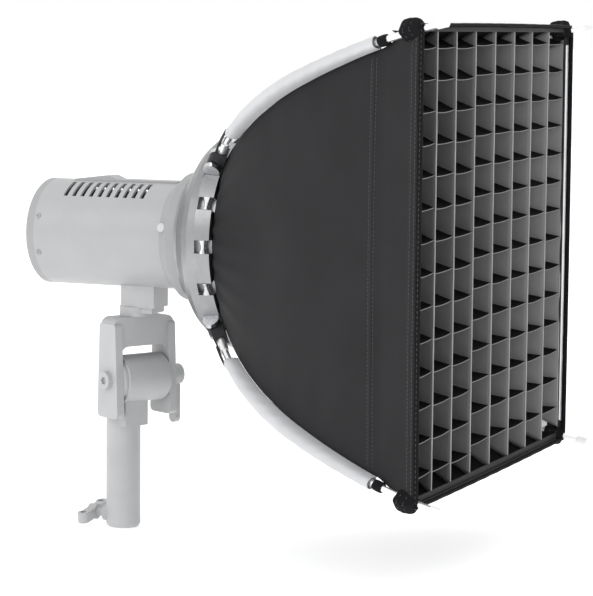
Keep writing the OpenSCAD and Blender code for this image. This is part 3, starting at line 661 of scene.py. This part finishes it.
class STROBE_OT_sleeves(bpy.types.Operator):
    """Satin sleeves round the four bowed rods"""

    bl_idname = "strobe.sleeves"
    bl_label = "Sew the rod sleeves"

    def execute(self, context):
        sizes, colours = context.scene.strobe_sizes, context.scene.strobe_colours
        satin = cloth_called("satin_sleeve_cloth", colours.sleeve, 0.0006, 0.36, 0.3, 0.00005, 0.08, 3.0,
                             Specular_IOR_Level=0.6)
        run = np.linspace(37.0, 208.5, 150)
        s = np.linspace(0, 2 * math.pi, 40, endpoint=False)
        x, s = np.meshgrid(run, s, indexing="ij")
        tail = (13.3 - 0.045 * np.maximum(0, x - 90)) * np.cos(rod_lean(x))
        top = sizes.sleeve / MM + 0.18 * np.sin(0.31 * x + 1.7 * s) * np.sin(0.083 * x) \
            + 0.5 * (hump(x, 38.5, 1.6) + hump(x, 207, 1.6))
        half, centre = (top + tail) / 2, (top - tail) / 2
        wide = 6.9 + 0.25 * np.sin(0.42 * x + 2 * s) + 0.4 * (hump(x, 38.5, 1.6) + hump(x, 207, 1.6))
        out = centre - half * np.cos(s)
        side = wide * np.sin(s) * np.sin(s / 2) ** 1.15 + 0.9 * np.sin(s) * (1 - np.sin(s / 2))
        skin = 0.45
        outer = along_rod(run, np.stack([out, side], -1))
        inner = along_rod(run, np.stack([out + skin * np.cos(s), side * (1 - skin / wide)], -1))
        girth = np.cumsum(np.linalg.norm(np.diff(outer, axis=1), axis=-1), 1)
        girth = np.concatenate([np.zeros((len(run), 1)), girth], 1)
        for name, turn in CORNERS.items():
            sleeve = Pattern()
            add_tube(sleeve, outer, inner, np.stack([x, girth], -1), turn)
            piece = sleeve.piece(f"sleeve_{name}", satin)
            sewn = Pattern()
            line = np.arange(41, 205, 3.4)
            for hand in (-1, 1):
                drop = -(13.3 - 0.045 * np.maximum(0, line - 90)) * np.cos(rod_lean(line)) + 3.6
                row = np.stack([drop, 0 * line + hand * 2.6], -1)[:, None]
                ahead = along_rod(line + 1, row)[:, 0]
                here = along_rod(line, row)[:, 0]
                stitches(sewn, turned(here, turn), turned(ahead - here, turn),
                         turned(np.tile([0.0, hand, 0.0], (len(line), 1)), turn), 2.2, 0.3)
            seam = sewn.piece(f"sleeve_{name}_stitches", satin)
            belongs("softbox", "sleeve_cloth", piece, seam)
            if turn == 45:
                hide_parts("rod_sleeves")
        return {"FINISHED"}


def rod_wrap(stations, tall, wide, power, lift, bore):
    """A wrap round a rod: |out/tall|^p + |side/wide|^p = 1 about a lifted centre, with a round bore."""
    s = np.linspace(0, 2 * math.pi, 36, endpoint=False)[None]
    c, w = np.cos(s), np.sin(s)
    out = np.sign(c) * np.abs(c) ** (2 / power) * tall[:, None] + lift[:, None]
    side = np.sign(w) * np.abs(w) ** (2 / power) * wide[:, None]
    outer = along_rod(stations, np.stack([out, side], -1))
    inner = along_rod(stations, np.stack([c * bore + 0 * tall[:, None], w * bore + 0 * tall[:, None]], -1))
    return outer, inner


class STROBE_OT_corners(bpy.types.Operator):
    """Webbing pockets at the mouth's corners and the loops that hold the rods"""

    bl_idname = "strobe.corners"
    bl_label = "Sew the corner pockets"

    def execute(self, context):
        for name, turn in CORNERS.items():
            run = np.linspace(0, 1, 26)
            stations = 237.0 + 18.0 * run
            swell = np.sin(math.pi * np.clip(run, 0, 1)) ** 0.15
            sewn_in = 0.25 * (hump(run, 0.3, 0.05) + hump(run, 0.6, 0.05))
            tall = (4.6 + 2.5 * swell) * (1 - 0.2 * run ** 3) - sewn_in
            wide = (4.8 + 3.4 * swell) * (1 - 0.25 * run ** 3) + 0.2 * np.sin(9 * run)
            outer, inner = rod_wrap(stations, tall, wide, 5.0, tall - 3.9, 3.5)
            girth = girth_of(outer)
            pocket = Pattern()
            add_tube(pocket, outer, inner, np.stack([stations[:, None] + 0 * girth, girth], -1), turn)
            piece = pocket.piece(f"pocket_{name}", webbing())
            sewn = Pattern()
            for at in (0.3, 0.6):
                k = int(at * 25)
                around = outer[k, ::3]
                ahead = np.roll(outer[k], -1, 0)[::3]
                middle = outer[k].mean(0)
                stitches(sewn, *(turned(v, turn) for v in (around, ahead - around, around - middle)), 1.9, 0.3)
            seam = sewn.piece(f"pocket_{name}_stitches", thread())
            loop_run = np.linspace(0, 1, 14)
            at = 211.6 + 8.4 * loop_run
            fold = 0.35 * np.sin(math.pi * loop_run) ** 0.5
            loop_outer, loop_inner = rod_wrap(at, 4.3 + fold, 4.0 + fold, 2.6, 0 * at - 0.35, 3.35)
            girth = girth_of(loop_outer)
            loop = Pattern()
            add_tube(loop, loop_outer, loop_inner, np.stack([at[:, None] + 0 * girth, girth], -1), turn)
            loop_piece = loop.piece(f"rod_loop_{name}", webbing())
            link_run = np.linspace(0, 1, 12)
            ends = np.sqrt(np.maximum(0, 1 - (2 * link_run - 1) ** 12))
            bar, _ = rod_wrap(23.0 + 15.5 * link_run, 1.1 * ends, 3.1 * ends, 5.0, 5.4 + 0 * link_run, 0.5)
            link = Pattern()
            link.add(placed(turned(bar, turn)), grid_quads(12, 36, False, True))
            link_piece = link.piece(f"hinge_link_{name}", bpy.data.materials["blackened_steel"])
            belongs("softbox", "dark_steel", link_piece)
            belongs("softbox", "black_webbing", piece, seam, loop_piece)
            if turn == 45:
                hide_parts("corner_pockets")
                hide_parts("rod_straps")
        return {"FINISHED"}


def mouth_line(x, count, inset=0.0):
    """Points round the mouth at x: each wall's edge (t c, c + s (1 - t^2)) in turn, drawn in by an inset."""
    t = np.linspace(-1, 1, count, endpoint=False)
    c, s = float(half_side(x)) - inset, float(stand_out(x))
    side = np.stack([x + 0 * t, t * c, c + s * (1 - t ** 2)], -1)
    return np.concatenate([turned(side, -a) for a in (0, 90, 180, 270)])


class STROBE_OT_mouth(bpy.types.Operator):
    """Binding tape sewn round the softbox's mouth"""

    bl_idname = "strobe.mouth"
    bl_label = "Bind the mouth"

    def execute(self, context):
        line = mouth_line(CLOTH_X1, 90, 0.7)
        line[:, 0] = CLOTH_X1 + 2.3
        ahead = np.roll(line, -1, 0) - np.roll(line, 1, 0)
        ahead /= np.linalg.norm(ahead, axis=-1, keepdims=True)
        out = np.cross(ahead, [1.0, 0, 0])
        out *= np.sign((out * line).sum(-1, keepdims=True))
        s = np.linspace(0, 2 * math.pi, 16, endpoint=False)
        c, w = np.cos(s), np.sin(s)
        deep = np.sign(c) * np.abs(c) ** 0.55 * 2.1
        thick = np.sign(w) * np.abs(w) ** 0.7 * 1.35
        number = np.arange(len(line))
        wave = 0.12 * np.sin(number * 0.9)[:, None]
        rings = line[:, None] + deep[None, :, None] * np.array([1.0, 0, 0]) + \
            ((thick[None] - 0.2 + wave)[..., None]) * out[:, None]
        flat = np.stack([number[:, None] * 4.2 + 0 * deep[None], s[None] * 1.7 + 0 * number[:, None]], -1) * MM
        tape = Pattern()
        tape.add(placed(rings), grid_quads(len(line), 16, True, True), flat)
        piece = tape.piece("mouth_binding", webbing())
        sewn = Pattern()
        stitches(sewn, line + out * 1.2, ahead, out, 2.6, 0.3)
        seam = sewn.piece("mouth_binding_stitches", thread())
        belongs("softbox", "black_webbing", piece, seam)
        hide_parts("front_band")
        return {"FINISHED"}


GRID_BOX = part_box("grid")


class STROBE_OT_grid(bpy.types.Operator):
    """Fabric grid: uprights, sagging level strips darkened with painted shade, bound edges and border"""

    bl_idname = "strobe.grid"
    bl_label = "Sew the grid"

    def execute(self, context):
        sizes, colours = context.scene.strobe_sizes, context.scene.strobe_colours
        strip = cloth_called("grid_strip_cloth", colours.grid, 0.0010, 0.65, 0.15, 0.0001, 0.12)
        bound = cloth_called("grid_edge_tape", (0.34, 0.343, 0.35), 0.0008, 0.5, 0.2)
        border = cloth_called("grid_border_cloth", (0.012, 0.012, 0.013), 0.0011, 0.6, 0.05, Specular_IOR_Level=0.2)
        # Painted shade: the level strips get near-black cloth, far darker than the grey uprights of the same grid, to
        # stand in for the shade on their upward faces inside the cells
        shadow = cloth_called("grid_level_painted_shade_cloth", (0.004, 0.004, 0.0045), 0.0010, 0.8, 0.0, 0.0001, 0.12,
                              Specular_IOR_Level=0.05)
        low, high = (np.array(v) / MM for v in GRID_BOX)
        front, rear = high[0] - RING_X / MM, low[0] - RING_X / MM
        front += 6.0
        half_front, half_rear = float(half_side(front)) - 2.0, float(half_side(rear)) - 4.0
        columns, rows, sag = sizes.columns, sizes.rows, sizes.sag / MM
        across = np.linspace(-1, 1, columns + 1)
        across = across - 0.02 * (1 - across ** 2) + 0.012 * np.sin(4.1 * across)
        deep = np.linspace(0, 1, 9)
        uprights, edges, levels, lips = Pattern(), Pattern(), Pattern(), Pattern()

        def reach(d):
            return half_rear + (half_front - half_rear) * d

        tall = np.linspace(-1, 1, 6 * rows + 1)
        for k in range(columns + 1):
            f = across[k]
            d, z = np.meshgrid(deep, tall * (0.953 if k in (0, columns) else 1), indexing="ij")
            bow = 0.25 * np.sin(math.pi * rows / 2 * z + 1.3 * k) * np.sin(2.0 * z + k) * (0.35 + 0.65 * d) \
                + 0.35 * np.sin(1.7 * z + 0.8 * k) * d
            x = rear + (front - rear) * d
            mid = np.stack([x, f * reach(d) + bow, z * reach(d)], -1)
            half = np.array([0, 0.3, 0])
            add_sheet(uprights, mid - half, mid + half, np.stack([d * (front - rear), z * half_front], -1))
            lip = mid[-1]
            s = np.linspace(0, 2 * math.pi, 8, endpoint=False)
            ring = lip[:, None] + np.stack([0.7 * np.cos(s) - 0.3, 0.5 * np.sin(s), 0 * s], -1)[None]
            poles = [lip[k:k + 1 or None, None] + 0 * ring[:1] - [0.5, 0, 0] for k in (0, -1)]
            ends = np.concatenate([poles[0], ring, poles[1]])
            grid = grid_quads(len(ends), 8, False, True)
            edge_flat = np.stack([ends[..., 2], 0 * ends[..., 2] + s[None] * 0.9], -1) * MM
            edges.add(placed(ends), grid, edge_flat)
        upright_piece = uprights.piece("grid_uprights", strip)
        edge_piece = edges.piece("grid_edge_binding", bound)

        share = np.linspace(0, 1, 9)
        for k in range(rows + 1):
            rim = k in (0, rows)
            for m in range(columns):
                d, u = np.meshgrid(deep, share, indexing="ij")
                y = across[m] + 0.0035 + (across[m + 1] - across[m] - 0.007) * u
                y = np.clip(y, -0.945, 0.945) if rim else np.clip(y, -1, 1)
                level = half_front * (1 - 0.07 - (k - 1) * 0.1316 - (k - 1) ** 2 * 0.00045)
                level = level - (2 + 0.45 * k if m < 3 else 0)
                wave = 0.5 + 0.5 * np.sin(2.3 * m + 1.9 * k)
                droop = sag * (1 - (2 * u - 1) ** 2) * (0.6 + 0.6 * wave)
                rise = (1.5 + 5.5 * (level / half_front + 1) + 2 * wave) * (1 - d)
                if rim:
                    hand = 1 if k == 0 else -1
                    level, droop, rise = (half_front - 0.6) * hand, 0 * u, (reach(d) - half_front) * hand
                mid = np.stack([rear + (front - 1.0 - rear) * d, y * reach(d),
                                level - droop * (0.25 + 0.75 * d) + (0 if rim else 1.2) * (u - 0.5) * d + rise], -1)
                half = np.array([0, 0, 0.22])
                add_sheet(levels, mid + half, mid - half, np.stack([d * (front - rear), y * half_front], -1))
                s = np.linspace(0, 2 * math.pi, 6, endpoint=False)
                ring = mid[-1][:, None] + np.stack([0.4 * np.cos(s), 0 * s, 0.4 * np.sin(s)], -1)[None]
                ends = np.concatenate([mid[-1][:1, None] + 0 * ring[:1], ring, mid[-1][-1:, None] + 0 * ring[:1]])
                edge_flat = np.stack([ends[..., 1], 0 * ends[..., 1] + s[None] * 0.9], -1) * MM
                lips.add(placed(ends), grid_quads(len(ends), 6, False, True), edge_flat)
        lip_cloth = cloth_called("grid_level_tape", shade(colours.grid, 0.95), 0.0008, 0.5, 0.05)
        lip_piece = lips.piece("grid_level_binding", lip_cloth)
        # The level strips wear the near-black painted-shade cloth
        level_piece = levels.piece("grid_levels", shadow)

        frame = Pattern()
        for a, drop in ((0, 3.6), (90, 2.6), (180, 4.6), (270, 2.6)):
            t, v = np.meshgrid(np.linspace(-1, 1, 61), np.linspace(0, 1, 6), indexing="ij")
            ripple = 0.5 * np.sin(8 * t + a) * v
            wide = half_front + (0.1 if a == 270 else 0.9) - drop * v
            outer = np.stack([front + 0.6 + ripple * 0.6, t * (wide - 10 + 8 * v),
                              wide + 0.8 * (1 - t * t) * (1 - v)], -1)
            back = outer - np.array([1.6, 0, 0])
            add_sheet(frame, outer, back, np.stack([t * half_front, v * drop], -1), a)
        frame_piece = frame.piece("grid_border", border)
        belongs("grid", "black_cloth", upright_piece, edge_piece, level_piece, lip_piece, frame_piece)
        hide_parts("grid")
        return {"FINISHED"}


class STROBE_OT_diffusers(bpy.types.Operator):
    """White diffusion cloths at the mouth and halfway down the softbox"""

    bl_idname = "strobe.diffusers"
    bl_label = "Hang the diffusers"

    def execute(self, context):
        white = cloth_called("diffusion_cloth", (0.86, 0.86, 0.85), 0.0007, 0.75, 0.3, 0.00005, 0.03,
                             Transmission_Weight=0.15)
        low, high = (np.array(v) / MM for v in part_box("front_diffuser"))
        half, x0 = high[1] - 0.3, low[0] - RING_X / MM
        u = np.linspace(-1, 1, 81)
        y, z = np.meshgrid(u * half, u * half, indexing="ij")
        free = (1 - (y / half) ** 2) * (1 - (z / half) ** 2)
        folds = 1.6 * np.sin(0.04 * y + 0.02 * z) * free
        folds += 0.7 * np.sin(0.12 * (y + z)) * hump(np.abs(y * z) / half ** 2, 1, 0.5)
        skin = np.stack([x0 + 0.6 + folds, y, z], -1)
        hem = 0.35 * (hump(np.abs(y) / half, 0.975, 0.02) + hump(np.abs(z) / half, 0.975, 0.02))
        lift = np.stack([0.3 + hem, 0 * y, 0 * y], -1)
        front = Pattern()
        add_sheet(front, skin + lift, skin - lift, np.stack([y, z], -1))
        piece = front.piece("front_diffuser_cloth", white)
        belongs("softbox", "diffusion_cloth", piece)
        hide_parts("front_diffuser")

        low, high = (np.array(v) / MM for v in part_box("inner_diffuser"))
        x1, side = low[0] - RING_X / MM, 85.0
        y, z = np.meshgrid(np.linspace(-1, 1, 61), np.linspace(-1, 1, 61), indexing="ij")
        pull = 1 - 0.07 * (1 - np.abs(y) ** 2) * np.abs(z) ** 3
        pull2 = 1 - 0.07 * (1 - np.abs(z) ** 2) * np.abs(y) ** 3
        yy, zz = y * side * pull2, z * side * pull
        skin = np.stack([x1 + 0.6 + 1.2 * np.sin(2.2 * y) * np.cos(2.6 * z), yy, zz], -1)
        lift = np.array([0.3, 0, 0])
        inner = Pattern()
        add_sheet(inner, skin + lift, skin - lift, np.stack([yy, zz], -1))
        cloth_piece = inner.piece("inner_diffuser_cloth", white)
        tapes = Pattern()
        for turn in CORNERS.values():
            end = float(half_side(x1)) * math.sqrt(2) - 9.0
            r, w = np.meshgrid(np.linspace(116.0, end, 30), np.linspace(-4.5, 4.5, 5), indexing="ij")
            strap = np.stack([x1 + 0.6 + 0.5 * np.sin(0.07 * r), w, r], -1)
            add_sheet(tapes, strap + [0.5, 0, 0], strap - [0.5, 0, 0], np.stack([r, w], -1), turn)
        elastic = cloth_called("white_elastic", (0.8, 0.8, 0.8), 0.0012, 0.7, 0.3, 0.0002)
        tape_piece = tapes.piece("inner_diffuser_tapes", elastic)
        belongs("softbox", "diffusion_cloth", cloth_piece, tape_piece)
        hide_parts("inner_diffuser")
        return {"FINISHED"}


STEPS = (STROBE_OT_stage, STROBE_OT_hardware, STROBE_OT_mouth, STROBE_OT_walls, STROBE_OT_sleeves,
         STROBE_OT_corners, STROBE_OT_grid, STROBE_OT_diffusers)


class STROBE_PT_sidebar(bpy.types.Panel):
    """The strobe's making steps, sizes and colours"""

    bl_idname = "STROBE_PT_sidebar"
    bl_label = "Strobe"
    bl_space_type = "VIEW_3D"
    bl_region_type = "UI"
    bl_category = "Strobe"

    def draw(self, context):
        for step in STEPS:
            self.layout.operator(step.bl_idname)
        for group in (context.scene.strobe_sizes, context.scene.strobe_colours):
            box = self.layout.box()
            for name in group.__annotations__:
                box.prop(group, name)


CLASSES = (StrobeSizes, StrobeColours, *STEPS, STROBE_PT_sidebar)


def register():
    for one in CLASSES:
        bpy.utils.register_class(one)
    bpy.types.Scene.strobe_sizes = bpy.props.PointerProperty(type=StrobeSizes)
    bpy.types.Scene.strobe_colours = bpy.props.PointerProperty(type=StrobeColours)


def unregister():
    del bpy.types.Scene.strobe_colours
    del bpy.types.Scene.strobe_sizes
    for one in reversed(CLASSES):
        bpy.utils.unregister_class(one)


def main():
    """Registers the add-on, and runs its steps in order."""
    register()
    for step in STEPS:
        group, name = step.bl_idname.split(".")
        if getattr(getattr(bpy.ops, group), name)() != {"FINISHED"}:
            raise RuntimeError(f"{step.bl_idname} did not finish")


if __name__ == "__main__":
    main()
